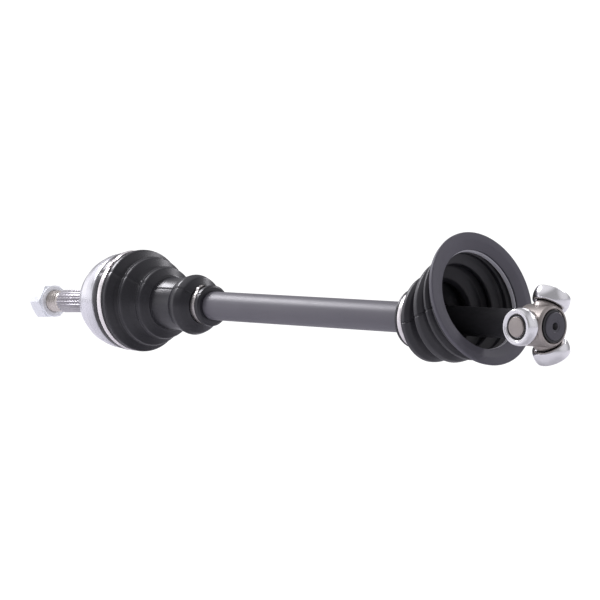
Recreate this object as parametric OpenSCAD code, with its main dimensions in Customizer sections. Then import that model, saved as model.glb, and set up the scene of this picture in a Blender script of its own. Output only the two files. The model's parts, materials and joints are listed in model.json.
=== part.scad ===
/* [Shaft] */
// Diameter of the painted middle of the shaft
shaft_d = 26; // [20:0.5:32]
// Diameter of the bare shaft between the boot bearing and the tripod
inboard_d = 24.2; // [18:0.1:25]
// Distance from the outer joint's centre to the tripod's centre
joint_span = 525; // [430:1:640]
// Distance from the tripod's centre to the shaft's inboard end
tail_l = 15.6; // [14:0.1:20]

/* [Outer joint] */
// Radius of the circle on which the joint balls' centres lie
ball_pitch_r = 30; // [29:0.1:31]
// Diameter of a joint ball
ball_d = 17.5; // [16:0.1:18]
// Outer diameter of the bell under the boot clamp
bell_d = 87.2; // [85:0.1:92]
// How far the bell reaches past the joint's centre towards the shaft
bell_mouth_x = 20.5; // [18:0.1:23]
// Distance from the joint's centre to the shoulder that meets the hub bearing
shoulder_x = 44; // [43.5:0.5:50]
// Angle by which the stub hangs below the shaft at rest
stub_droop = 2.4; // [0:0.1:5]

/* [Stub] */
// Diameter over the spline's teeth
spline_d = 21.8; // [20:0.1:24]
// Number of spline teeth
spline_teeth = 21; // [18:1:26]
// Nominal diameter of the hub nut's thread
thread_d = 20; // [18:1:22]
// Distance from the joint's centre to the stub's tip
stub_tip_x = 132; // [125:1:145]
// Width of the hub nut across its flats
nut_af = 30; // [27:1:36]

/* [Boots] */
// Wall thickness of the rubber boots
boot_wall = 2.2; // [1.5:0.1:3]
// Length of the outer boot's smooth neck and bulb
neck_l = 52; // [46:1:60]
// Outer diameter of the flange on the inner boot
flange_d = 112.2; // [105:0.1:120]
// Diameter of the opening in that flange
flange_bore_d = 83.6; // [80:0.1:92]
// Height of the flange's centre over the shaft's axis at rest
flange_rise = 19.6; // [0:0.1:24]
// Upward tilt of the flange at rest
flange_tilt = 18; // [0:1:20]

/* [Boot bearing] */
// Distance from the outer joint's centre to the bearing's outboard face
bearing_x = 384.4; // [340:0.1:400]
// Outer diameter of the boot bearing
bearing_d = 46; // [44:1:48]
// Width of the boot bearing
bearing_w = 10; // [9:0.5:12]
// Number of balls in the boot bearing
bearing_ball_n = 11; // [8:1:12]

/* [Tripod] */
// Outer diameter of a roller
roller_d = 30.3; // [28:0.1:32]
// Width of a roller
roller_w = 11.6; // [10:0.1:12.5]
// Distance from the shaft's axis to the middle of a roller
roller_r = 23.8; // [23.4:0.1:25]
// Diameter of a trunnion
trunnion_d = 16.2; // [15:0.1:17]
// Number of needles in a roller
needle_n = 26; // [20:1:27]

/* [Hidden] */

// Clearances
seat_gap = 0.02;
running_gap = 0.05;
soft_gap = 0.3;
cage_gap = 0.3;
track_gap = 1;
race_track_gap = 2.6;
cut = 0.01;

// Outer joint
ball_r = ball_d / 2;
ball_n = 6;
cage_r = ball_pitch_r + 5.5;
cage_bore_r = ball_pitch_r - 0.4;
cage_half_w = 12.5;
race_r = cage_bore_r - cage_gap;
race_half_w = 11;
bell_r = bell_d / 2;
cavity_r = cage_r + cage_gap;
cavity_floor_x = -28;
bell_track_reach = 44;
race_track_reach = 40;
mouth_r = bell_r - 4;
mouth_start_x = 10;
mouth_start_r = sqrt(pow(cavity_r, 2) - pow(mouth_start_x, 2));
shaft_tip_x = -14.5;
race_seat_r = shaft_d / 2 - 1.5;
circlip_x = race_half_w + 1.2;

// Stub
journal_r = spline_d / 2 + 1.5;
spline_end_x = -61;
spline_start_x = -99;
thread_r = thread_d / 2;
tip_chamfer = 1.2;
shoulder_r = 24;
cone_r = 35;
cone_x = -30;
crown_r = bell_r + 1.6;
seat_start_x = 3;
washer_w = 3;
washer_r = nut_af / 2 + 0.4;
nut_face_x = -115;
nut_l = 16.7;
nut_inner_x = nut_face_x - washer_w - running_gap;

// Outer boot, given as distances from the joint's centre
lip_x = 4.8;
band_x = 10.5;
band_w = 8;
band_t = 0.8;
boot_seat_r = bell_r + 0.9;
boot_rim_r = boot_seat_r + 1.8;
band_seat_r = boot_seat_r + 1.1;
neck_x = 61;
neck_r = 24;
bulb_r = 27.6;
cuff_x = neck_x + neck_l - 3;
cuff_w = 6;
boot_end_x = cuff_x + 13.5;
grip_r = shaft_d / 2 + soft_gap;
groove_r = grip_r + boot_wall + 1.3;
small_clamp_t = 0.9;

// Boot bearing
bearing_seat_r = inboard_d / 2 + 0.4;
bearing_r = bearing_d / 2;
bearing_ball_d = 5.6;
inner_ring_r = bearing_seat_r + 3.3;
outer_ring_bore_r = bearing_r - 3;
bearing_pitch_r = (inner_ring_r + outer_ring_bore_r) / 2;
bearing_end_x = bearing_x + bearing_w;
race_depth = bearing_ball_d / 2 + running_gap;
seal_t = 0.7;
collar_r = bearing_r + 1.6;
boot_band_t = 0.6;

// Inner boot
flange_r = flange_d / 2;
flange_bore_r = flange_bore_d / 2;
flange_t = 5.5;
flange_x = joint_span - 63.6;
flange_dish = 3.4;
flange_dish_w = 5.2;
boot_end_gap = 0.9;
boot_sides = 40;
boot_start_x = bearing_end_x + 0.5;
boot_band_x = bearing_x + 2.5;
boot_band_w = 4.6;
collar_x = bearing_x - 0.8;
insert_w = 3.4;
insert_t = 1.6;
insert_depth = flange_dish + 0.3;

// Tripod
trunnion_r = trunnion_d / 2;
needle_d = 2;
needle_gap = 0.03;
needle_orbit_r = trunnion_r + needle_d / 2 + needle_gap;
roller_bore_r = needle_orbit_r + needle_d / 2 + needle_gap;
roller_crown_r = roller_d / 2;
trunnion_end = roller_r + roller_w / 2 + 0.1;
hub_r = roller_r - roller_w / 2 - 1.6;
hub_half_w = 13.6;
boss_r = trunnion_r + 3.2;
spider_bore_r = inboard_d / 2 - 0.6;
retainer_w = 1.2;
roller_angles = [0, 120, 240];

module turned() {
    rotate([0, 90, 0])
        rotate_extrude($fn = 96)
            children();
}

// A ring about X from x0 to x1
module ring(x0, x1, inner_r, outer_r) {
    turned()
        polygon([[inner_r, x0], [outer_r, x0], [outer_r, x1], [inner_r, x1]]);
}

// Turns a piece of the stub side down by its droop at rest
module drooped() {
    rotate([0, -stub_droop, 0])
        children();
}

// Sets a piece of the flange at its raised and tilted rest place
module at_flange() {
    translate([flange_x, 0, flange_rise])
        rotate([0, -flange_tilt, 0])
            children();
}

// Sets a piece that is built along +Z on the trunnion at this angle
module on_trunnion(angle) {
    translate([joint_span, 0, 0])
        rotate([angle, 0, 0])
            rotate([90, 0, 0])
                children();
}

// Ball tracks, arcs round the joint's centre that reach this angle to each side of the balls' rest
module tracks(clearance, reach) {
    for (i = [0 : ball_n - 1])
        rotate([i * 360 / ball_n, 0, 0])
            rotate([90, 0, 0])
                rotate([0, 0, 90 - reach])
                    rotate_extrude(angle = 2 * reach, $fn = 96)
                        translate([ball_pitch_r, 0])
                            circle(r = ball_r + clearance, $fn = 48);
}

// Outline of the splined section: straight-sided teeth with flat crests
module spline_outline() {
    root_r = spline_d / 2 - 1.1;
    step = 360 / spline_teeth;
    polygon([for (i = [0 : spline_teeth - 1])
        for (p = [[-0.34, root_r], [-0.16, spline_d / 2], [0.16, spline_d / 2], [0.34, root_r]])
            [p[1] * cos((i + p[0]) * step), p[1] * sin((i + p[0]) * step)]]);
}

// Section of the bell's inside: a sphere round the cage that opens into a cone
module bell_cavity() {
    intersection() {
        circle(r = cavity_r, $fn = 96);
        translate([0, cavity_floor_x])
            square([cavity_r + 1, mouth_start_x - cavity_floor_x]);
    }
    polygon([
        [0, mouth_start_x - 1], [mouth_start_r - 1, mouth_start_x - 1], [mouth_start_r, mouth_start_x],
        [mouth_r, bell_mouth_x], [mouth_r, bell_mouth_x + 1], [0, bell_mouth_x + 1]
    ]);
}

module axle_shaft() {
    end_x = joint_span + tail_l;
    color([0.25, 0.24, 0.26])
        turned()
            polygon([
                [0, shaft_tip_x], [race_seat_r - 1, shaft_tip_x], [race_seat_r, shaft_tip_x + 1],
                [race_seat_r, circlip_x - 0.7], [race_seat_r - 1.2, circlip_x - 0.7],
                [race_seat_r - 1.2, circlip_x + 0.7], [race_seat_r, circlip_x + 0.7],
                [race_seat_r, 16], [shaft_d / 2, 19], [shaft_d / 2, bearing_x - 1.5],
                [bearing_seat_r, bearing_x], [bearing_seat_r, bearing_end_x],
                [inboard_d / 2, bearing_end_x + 1], [inboard_d / 2, joint_span - hub_half_w - 3],
                [spider_bore_r, joint_span - hub_half_w], [spider_bore_r, end_x - 2.2],
                [spider_bore_r - 1.1, end_x - 2.2], [spider_bore_r - 1.1, end_x - 0.9],
                [spider_bore_r, end_x - 0.9], [spider_bore_r - 0.6, end_x], [2.6, end_x],
                [0, end_x - 4.5]
            ]);
}

module joint_housing() {
    color([0.78, 0.78, 0.8])
        drooped() {
            difference() {
                turned()
                    polygon([
                        [0, spline_end_x], [journal_r - 0.8, spline_end_x], [journal_r, spline_end_x + 0.8],
                        [journal_r, -shoulder_x], [shoulder_r, -shoulder_x], [cone_r, cone_x],
                        [crown_r - 4.2, -19], [crown_r - 1.2, -9], [crown_r, 0],
                        [crown_r, seat_start_x - 1], [bell_r, seat_start_x], [bell_r, bell_mouth_x],
                        [0, bell_mouth_x]
                    ]);
                turned()
                    bell_cavity();
                tracks(track_gap, bell_track_reach);
            }
            translate([spline_start_x, 0, 0])
                rotate([0, 90, 0])
                    linear_extrude(height = spline_end_x - spline_start_x + 1)
                        spline_outline();
            turned()
                polygon([
                    [0, -stub_tip_x], [thread_r - tip_chamfer, -stub_tip_x],
                    [thread_r, tip_chamfer - stub_tip_x], [thread_r, spline_start_x - 2.5],
                    [thread_r - 1, spline_start_x - 1.5], [thread_r - 1, spline_start_x + 1],
                    [0, spline_start_x + 1]
                ]);
        }
}

module ball_cage() {
    window_w = ball_d + 2 * running_gap;
    window_l = ball_d + 3;
    color([0.55, 0.55, 0.57])
        drooped()
            difference() {
                intersection() {
                    sphere(r = cage_r, $fn = 96);
                    ring(-cage_half_w, cage_half_w, 1, cage_r + 1);
                }
                sphere(r = cage_bore_r, $fn = 96);
                for (i = [0 : ball_n - 1])
                    rotate([i * 360 / ball_n, 0, 0])
                        translate([-window_w / 2, -window_l / 2, cage_bore_r - 6])
                            cube([window_w, window_l, cage_r]);
            }
}

module joint_balls() {
    color([0.85, 0.85, 0.88])
        drooped()
            for (i = [0 : ball_n - 1])
                rotate([i * 360 / ball_n, 0, 0])
                    translate([0, 0, ball_pitch_r])
                        sphere(r = ball_r, $fn = 48);
}

module inner_race() {
    color([0.6, 0.6, 0.62])
        difference() {
            intersection() {
                sphere(r = race_r, $fn = 96);
                ring(-race_half_w, race_half_w, race_seat_r + seat_gap, race_r + 1);
            }
            tracks(race_track_gap, race_track_reach);
        }
}

module race_circlip() {
    color([0.3, 0.3, 0.32])
        difference() {
            ring(circlip_x - 0.6, circlip_x + 0.6, race_seat_r - 1.1, race_seat_r + 1.6);
            translate([circlip_x - 1, -1.5, 0])
                cube([2, 3, 2 * shaft_d]);
        }
}

module nut_washer() {
    color([0.86, 0.88, 0.9])
        drooped()
            turned()
                polygon([
                    [thread_r + running_gap, nut_face_x - washer_w], [washer_r - 1.4, nut_face_x - washer_w],
                    [washer_r, nut_face_x - 1.4], [washer_r - 0.5, nut_face_x],
                    [thread_r + running_gap, nut_face_x]
                ]);
}

module hub_nut() {
    color([0.9, 0.92, 0.95])
        drooped()
            intersection() {
                difference() {
                    translate([nut_inner_x - nut_l, 0, 0])
                        rotate([0, 90, 0])
                            rotate([0, 0, 90])
                                cylinder(h = nut_l, d = nut_af / cos(30), $fn = 6);
                    translate([nut_inner_x - nut_l - 1, 0, 0])
                        rotate([0, 90, 0])
                            cylinder(h = nut_l + 2, r = thread_r + running_gap, $fn = 96);
                }
                turned()
                    polygon([
                        [0, nut_inner_x - nut_l], [nut_af / 2 - 2.2, nut_inner_x - nut_l],
                        [nut_af / 2 + 3, nut_inner_x - nut_l + 4], [nut_af / 2 + 3, nut_inner_x - 1.4],
                        [nut_af / 2, nut_inner_x], [0, nut_inner_x]
                    ]);
            }
}

// Outer boot: stepped folds down to a neck, then a bulb and the cuff that grips the shaft
module outer_boot() {
    folds = [
        [boot_rim_r, band_x + band_w + 1], [bell_r + 3.9, 21.8], [bell_r + 3.6, 25.6],
        [bell_r - 3.6, 28.8], [bell_r - 6.2, 31], [bell_r - 5.6, 33.6], [bell_r - 2.2, 35.4],
        [bell_r - 3.1, 39.8], [bell_r - 10.2, 43.8], [bell_r - 13, 46.8], [bell_r - 12.8, 50.8],
        [bell_r - 9.9, 53.2], [bell_r - 10.9, 57.8], [neck_r + 1.5, neck_x], [neck_r, neck_x + 2],
        [neck_r, neck_x + neck_l * 0.56], [bulb_r - 1, neck_x + neck_l * 0.62],
        [bulb_r, neck_x + neck_l * 0.73], [bulb_r - 3, neck_x + neck_l * 0.85],
        [groove_r + 1.4, cuff_x - 2.5], [groove_r + 0.4, cuff_x - 0.6]
    ];
    color([0.13, 0.13, 0.15])
        turned()
            polygon(concat(
                [
                    [boot_seat_r, lip_x], [boot_rim_r, lip_x], [boot_rim_r, band_x - 0.3],
                    [band_seat_r, band_x - 0.3], [band_seat_r, band_x + band_w + 0.8]
                ],
                folds,
                [
                    [groove_r - 0.7, cuff_x - 0.6], [groove_r - 0.7, cuff_x + cuff_w + 0.6],
                    [groove_r + 0.6, cuff_x + cuff_w + 0.6], [groove_r + 0.6, boot_end_x - 1],
                    [groove_r - 1, boot_end_x], [grip_r, boot_end_x], [grip_r, cuff_x - 4]
                ],
                [for (i = [len(folds) - 3 : -1 : 1]) [folds[i][0] - boot_wall, folds[i][1]]],
                [[boot_seat_r, bell_mouth_x + 1.2]]
            ));
}

module large_clamp() {
    droop_room = (band_x + band_w) * sin(stub_droop);
    inner_r = band_seat_r + soft_gap + droop_room;
    color([0.82, 0.8, 0.79])
        drooped()
            ring(band_x + 2, band_x + band_w - 1.6, inner_r, inner_r + band_t);
}

module small_clamp() {
    inner_r = groove_r - 0.7 + soft_gap;
    color([0.82, 0.8, 0.79])
        ring(cuff_x, cuff_x + cuff_w, inner_r, inner_r + small_clamp_t);
}

// Half of a bearing ring's section is cut by the balls' race
module bearing_race() {
    translate([bearing_pitch_r, bearing_x + bearing_w / 2])
        circle(r = race_depth, $fn = 48);
}

module bearing_inner_ring() {
    color([0.75, 0.75, 0.77])
        turned()
            difference() {
                translate([bearing_seat_r + seat_gap, bearing_x + seat_gap])
                    square([inner_ring_r - bearing_seat_r - seat_gap, bearing_w - seat_gap]);
                bearing_race();
            }
}

module bearing_outer_ring() {
    color([0.75, 0.75, 0.77])
        turned()
            difference() {
                translate([outer_ring_bore_r, bearing_x])
                    square([bearing_r - outer_ring_bore_r, bearing_w]);
                bearing_race();
            }
}

module bearing_balls() {
    color([0.85, 0.85, 0.88])
        for (i = [0 : bearing_ball_n - 1])
            rotate([i * 360 / bearing_ball_n, 0, 0])
                translate([bearing_x + bearing_w / 2, 0, bearing_pitch_r])
                    sphere(r = bearing_ball_d / 2, $fn = 32);
}

module bearing_cage() {
    half_t = (outer_ring_bore_r - inner_ring_r) / 2 - 0.4;
    mid_x = bearing_x + bearing_w / 2;
    color([0.72, 0.55, 0.25])
        difference() {
            ring(mid_x - 2.2, mid_x + 3.4, bearing_pitch_r - half_t, bearing_pitch_r + half_t);
            for (i = [0 : bearing_ball_n - 1])
                rotate([i * 360 / bearing_ball_n, 0, 0])
                    translate([mid_x, 0, inner_ring_r - 2])
                        cylinder(h = bearing_r, r = bearing_ball_d / 2 + running_gap, $fn = 32);
        }
}

module bearing_seal() {
    color([0.1, 0.1, 0.11])
        ring(bearing_x + 0.3, bearing_x + 0.3 + seal_t, inner_ring_r + soft_gap, outer_ring_bore_r - seat_gap);
}

// The band that holds the boot's collar on the bearing's outer ring
module boot_band() {
    color([0.85, 0.84, 0.83])
        ring(boot_band_x, boot_band_x + boot_band_w, collar_r + soft_gap, collar_r + soft_gap + boot_band_t);
}

// Centre line of the inner boot, from the bearing at u = 0 to the flange at u = 1
spine_dx = flange_x - flange_t * cos(flange_tilt) - boot_start_x;
spine_dz = flange_rise - flange_t * sin(flange_tilt);
function spine(u) = let(v = max(0, u))
    [boot_start_x + spine_dx * u, 0, spine_dz * v * v * (2.4 - 1.4 * v)];
function boot_ring(u, r, sides) = let(c = spine(u), tilt = flange_tilt * max(0, u))
    [for (j = [0 : sides - 1]) let(a = 360 * j / sides)
        [c[0] - r * sin(tilt) * cos(a), r * sin(a), c[2] + r * cos(tilt) * cos(a)]];
function along(x) = (x - boot_start_x) / spine_dx;

// Inner boot: two big folds, then two fine ribs behind the flange
module inner_boot() {
    sides = boot_sides;
    collar = [
        [along(collar_x), collar_r + 0.8], [along(boot_band_x - 0.5), collar_r + 0.8],
        [along(boot_band_x - 0.4), collar_r], [along(boot_band_x + boot_band_w + 0.4), collar_r],
        [along(boot_band_x + boot_band_w + 0.5), collar_r + 0.8]
    ];
    folds = [
        [0.02, collar_r + 1.6], [0.11, 33.5], [0.14, 36.4], [0.21, 36.9], [0.27, 33.5], [0.3, 30.4],
        [0.35, 29.6], [0.39, 30.6], [0.44, 38.4], [0.48, 42.4], [0.55, 43], [0.61, 40.4],
        [0.645, 37.6], [0.68, 37.6], [0.72, 44.6], [0.78, 46.5], [0.825, 43.4], [0.85, 43.4],
        [0.9, 48], [1 - boot_end_gap / spine_dx, 47.8]
    ];
    n = len(folds);
    walls = concat(
        [for (s = concat(collar, folds)) boot_ring(s[0], s[1], sides)],
        [for (i = [n - 1 : -1 : 0]) boot_ring(folds[i][0], folds[i][1] - boot_wall, sides)],
        [boot_ring(along(collar_x), bearing_r + soft_gap, sides)]);
    rings = len(walls);
    color([0.14, 0.14, 0.15])
        polyhedron(
            points = [for (w = walls) each w],
            faces = [for (i = [0 : rings - 1]) for (j = [0 : sides - 1])
                let(k = (i + 1) % rings, m = (j + 1) % sides)
                each [[i * sides + j, i * sides + m, k * sides + m],
                    [i * sides + j, k * sides + m, k * sides + j]]]);
}

module boot_flange() {
    color([0.2, 0.2, 0.22])
        at_flange()
            turned()
                polygon([
                    [flange_bore_r, -flange_t], [flange_r - 1, -flange_t], [flange_r, 1 - flange_t],
                    [flange_r, -0.6], [flange_r - 0.6, 0], [flange_bore_r + flange_dish_w, 0],
                    [flange_bore_r, -flange_dish]
                ]);
}

// Steel ring behind the dished edge of the flange's opening
module flange_insert() {
    color([0.6, 0.6, 0.63])
        at_flange()
            ring(-insert_depth - insert_w, -insert_depth, flange_bore_r - insert_t,
                flange_bore_r - seat_gap);
}

module tripod_spider() {
    color([0.55, 0.53, 0.5])
        difference() {
            union() {
                translate([joint_span, 0, 0])
                    turned()
                        polygon([
                            [0, -hub_half_w], [hub_r - 1.5, -hub_half_w], [hub_r + 0.6, 2 - hub_half_w],
                            [hub_r + 0.6, hub_half_w - 3.5], [hub_r - 1, hub_half_w], [0, hub_half_w]
                        ]);
                for (angle = roller_angles)
                    on_trunnion(angle) {
                        cylinder(h = hub_r + 0.9, r = boss_r, $fn = 96);
                        cylinder(h = trunnion_end - 0.8, r = trunnion_r, $fn = 96);
                        translate([0, 0, trunnion_end - 0.8])
                            cylinder(h = 0.8, r1 = trunnion_r, r2 = trunnion_r - 0.8, $fn = 96);
                    }
            }
            translate([joint_span - hub_half_w - 1, 0, 0])
                rotate([0, 90, 0])
                    cylinder(h = 2 * hub_half_w + 2, r = spider_bore_r + seat_gap, $fn = 96);
            translate([joint_span, 0, 0])
                turned()
                    polygon([
                        [0, hub_half_w - 2], [spider_bore_r + seat_gap, hub_half_w - 2],
                        [spider_bore_r + 2.5, hub_half_w + cut], [0, hub_half_w + cut]
                    ]);
        }
}

module spider_circlip() {
    clip_x = joint_span + tail_l - 1.55;
    color([0.08, 0.08, 0.09])
        difference() {
            ring(clip_x - 0.55, clip_x + 0.55, spider_bore_r - 1.05, spider_bore_r + 2.2);
            rotate([-35, 0, 0])
                translate([clip_x - 1, -1.2, 0])
                    cube([2, 2.4, 2 * spider_bore_r]);
        }
}

// A roller: a barrel whose crown is part of a sphere, with chamfered faces
module roller(angle) {
    color([0.88, 0.88, 0.9])
        on_trunnion(angle)
            translate([0, 0, roller_r])
                difference() {
                    intersection() {
                        sphere(r = roller_crown_r, $fn = 96);
                        cylinder(h = roller_w, r = roller_crown_r + 1, center = true, $fn = 96);
                    }
                    cylinder(h = roller_w + 2, r = roller_bore_r, center = true, $fn = 96);
                    for (side = [-1, 1])
                        translate([0, 0, side * (roller_w / 2 - 0.6)])
                            cylinder(h = 2, r = roller_bore_r + 0.9, center = true, $fn = 96);
                }
}

module needles(angle) {
    length = roller_w - 2 * retainer_w - 1;
    color([0.7, 0.7, 0.72])
        on_trunnion(angle)
            for (i = [0 : needle_n - 1])
                rotate([0, 0, i * 360 / needle_n])
                    translate([needle_orbit_r, 0, roller_r - length / 2])
                        cylinder(h = length, r = needle_d / 2, $fn = 16);
}

// Rings at both ends of the needles, which keep them in the roller
module retainer(angle) {
    color([0.12, 0.12, 0.13])
        on_trunnion(angle)
            for (side = [-1, 1])
                translate([0, 0, roller_r + side * (roller_w / 2 - retainer_w / 2 - 0.2)])
                    difference() {
                        cylinder(h = retainer_w, r = roller_bore_r - running_gap, center = true, $fn = 96);
                        cylinder(h = 2 * retainer_w, r = trunnion_r + running_gap, center = true, $fn = 96);
                    }
}

axle_shaft();
joint_housing();
ball_cage();
joint_balls();
inner_race();
race_circlip();
nut_washer();
hub_nut();
outer_boot();
large_clamp();
small_clamp();
bearing_inner_ring();
bearing_outer_ring();
bearing_balls();
bearing_cage();
bearing_seal();
boot_band();
inner_boot();
boot_flange();
flange_insert();
tripod_spider();
spider_circlip();
roller(roller_angles[0]);  // roller_a
roller(roller_angles[1]);  // roller_b
roller(roller_angles[2]);  // roller_c
needles(roller_angles[0]);  // needles_a
needles(roller_angles[1]);  // needles_b
needles(roller_angles[2]);  // needles_c
retainer(roller_angles[0]);  // retainer_a
retainer(roller_angles[1]);  // retainer_b
retainer(roller_angles[2]);  // retainer_c
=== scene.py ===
"""The looks of a front drive shaft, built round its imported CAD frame.

The wheel side has a booted ball joint with a splined stub, the gearbox side a flanged boot on its own
ball bearing and a tripod with three rollers. Outlines are in millimetres as (x, r, fillet), where x runs
along the shaft from the outer joint's centre and r is the distance from the axis.
"""

import json
import logging
import math
from collections.abc import Callable, Sequence
from dataclasses import dataclass
from enum import Enum

import bmesh
import bpy
from mathutils import Matrix, Vector

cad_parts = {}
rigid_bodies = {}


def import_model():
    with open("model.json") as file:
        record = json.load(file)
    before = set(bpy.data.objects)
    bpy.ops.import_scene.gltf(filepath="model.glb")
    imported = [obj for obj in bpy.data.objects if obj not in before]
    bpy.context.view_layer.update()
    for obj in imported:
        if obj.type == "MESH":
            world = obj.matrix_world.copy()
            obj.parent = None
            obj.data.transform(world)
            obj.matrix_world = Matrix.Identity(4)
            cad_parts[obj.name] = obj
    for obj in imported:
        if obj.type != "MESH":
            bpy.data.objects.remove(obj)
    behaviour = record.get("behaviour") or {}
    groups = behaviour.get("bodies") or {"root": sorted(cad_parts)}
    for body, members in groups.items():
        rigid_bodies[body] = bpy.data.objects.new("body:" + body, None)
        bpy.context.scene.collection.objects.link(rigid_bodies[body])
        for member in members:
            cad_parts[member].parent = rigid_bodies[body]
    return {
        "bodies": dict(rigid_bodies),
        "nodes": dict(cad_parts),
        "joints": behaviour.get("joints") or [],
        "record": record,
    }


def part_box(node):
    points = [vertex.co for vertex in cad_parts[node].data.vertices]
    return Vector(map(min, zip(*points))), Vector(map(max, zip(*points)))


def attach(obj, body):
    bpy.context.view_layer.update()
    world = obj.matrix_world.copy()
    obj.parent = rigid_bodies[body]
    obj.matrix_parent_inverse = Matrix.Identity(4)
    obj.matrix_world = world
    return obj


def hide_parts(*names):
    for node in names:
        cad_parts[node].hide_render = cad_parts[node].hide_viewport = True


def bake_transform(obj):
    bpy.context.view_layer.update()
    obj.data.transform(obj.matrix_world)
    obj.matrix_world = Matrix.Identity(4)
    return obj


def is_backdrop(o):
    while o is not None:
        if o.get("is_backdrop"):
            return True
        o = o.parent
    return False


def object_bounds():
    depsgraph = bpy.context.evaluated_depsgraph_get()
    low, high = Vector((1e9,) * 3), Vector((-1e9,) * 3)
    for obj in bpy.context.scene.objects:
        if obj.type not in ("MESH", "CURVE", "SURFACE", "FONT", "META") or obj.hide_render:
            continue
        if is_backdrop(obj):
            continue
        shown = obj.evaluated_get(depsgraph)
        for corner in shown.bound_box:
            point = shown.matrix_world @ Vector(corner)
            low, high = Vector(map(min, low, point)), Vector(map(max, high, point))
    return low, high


log = logging.getLogger("drive_shaft")

MM = 0.001
FULL_TURN = 2 * math.pi
STEPS = 128
FINE_STEPS = 160
DOUBLES_APART = 2e-6
Corner = tuple[float, float, float]
Colour = tuple[float, float, float]
Place = tuple[float, float, float]
Point = tuple[float, float]


# ---------------------------------------------------------------- modelling bench


def ease(share: float) -> float:
    """Eases a share in and out, and holds it between 0 and 1."""
    share = min(1.0, max(0.0, share))
    return share * share * (3 - 2 * share)


def deselect() -> None:
    """Leaves edit mode and deselects every object."""
    if bpy.context.object and bpy.context.object.mode != "OBJECT":
        bpy.ops.object.mode_set(mode="OBJECT")
    bpy.ops.object.select_all(action="DESELECT")


def pick(piece: bpy.types.Object) -> None:
    """Makes one piece the only selected and the active object."""
    deselect()
    piece.select_set(True)
    bpy.context.view_layer.objects.active = piece


def edit(piece: bpy.types.Object) -> bmesh.types.BMesh:
    """Opens a piece in edit mode.

    Args:
        piece: the mesh to open.

    Returns:
        Its live edit mesh.
    """
    pick(piece)
    bpy.ops.object.mode_set(mode="EDIT")
    return bmesh.from_edit_mesh(piece.data)


def select_faces(mesh: bmesh.types.BMesh, test: Callable[[bmesh.types.BMFace], bool]) -> int:
    """Selects only the faces that pass a test.

    Args:
        mesh: the live edit mesh.
        test: says whether a face is wanted.

    Returns:
        How many faces are selected.
    """
    bpy.context.tool_settings.mesh_select_mode = (False, False, True)
    bpy.ops.mesh.select_all(action="DESELECT")
    wanted = [f for f in mesh.faces if test(f)]
    for face in wanted:
        face.select_set(True)
    return len(wanted)


def apply_modifier(piece: bpy.types.Object, kind: str, **settings: object) -> None:
    """Adds a modifier and applies it.

    Args:
        piece: the mesh that it works on.
        kind: the modifier's type.
        settings: the modifier's own settings.
    """
    pick(piece)
    modifier = piece.modifiers.new(kind.lower(), kind)
    for key, value in settings.items():
        setattr(modifier, key, value)
    bpy.ops.object.modifier_apply(modifier=modifier.name)


def bevel_edges(piece: bpy.types.Object, width: float, segments: int = 2, angle: float = 35.0) -> None:
    """Rounds the edges that are sharper than this angle, by this width in millimetres."""
    apply_modifier(
        piece, "BEVEL", width=width * MM, segments=segments, limit_method="ANGLE",
        angle_limit=math.radians(angle), harden_normals=False,
    )


def smooth(piece: bpy.types.Object, angle: float = 35.0) -> None:
    """Shades a piece smooth where its faces meet at less than this angle."""
    pick(piece)
    bpy.ops.object.shade_smooth_by_angle(angle=math.radians(angle))


def place(piece: bpy.types.Object, matrix: Matrix) -> bpy.types.Object:
    """Moves a piece and keeps its object at the origin.

    Args:
        piece: the piece to move.
        matrix: where it goes, in metres.

    Returns:
        The same piece.
    """
    pick(piece)
    piece.matrix_world = matrix
    bpy.ops.object.transform_apply(location=True, rotation=True, scale=True)
    return piece


def copy_of(piece: bpy.types.Object, name: str, matrix: Matrix) -> bpy.types.Object:
    """Copies a piece with its own mesh.

    Args:
        piece: the piece to copy.
        name: the copy's name.
        matrix: where the copy goes, in metres.

    Returns:
        The copy, in its place.
    """
    pick(piece)
    bpy.ops.object.duplicate(linked=False)
    twin = bpy.context.object
    twin.name = name
    return place(twin, matrix)


def join(pieces: Sequence[bpy.types.Object]) -> bpy.types.Object:
    """Joins closed pieces.

    Args:
        pieces: the pieces, of which the first one gives its name.

    Returns:
        The first piece, with all the others in it.
    """
    deselect()
    for piece in pieces:
        piece.select_set(True)
    bpy.context.view_layer.objects.active = pieces[0]
    bpy.ops.object.join()
    return pieces[0]


def cut(piece: bpy.types.Object, tool: bpy.types.Object, operation: str = "DIFFERENCE") -> None:
    """Cuts, joins or intersects a piece with a tool, which is used up."""
    apply_modifier(piece, "BOOLEAN", object=tool, operation=operation, solver="EXACT")
    bpy.data.objects.remove(tool)


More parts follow.
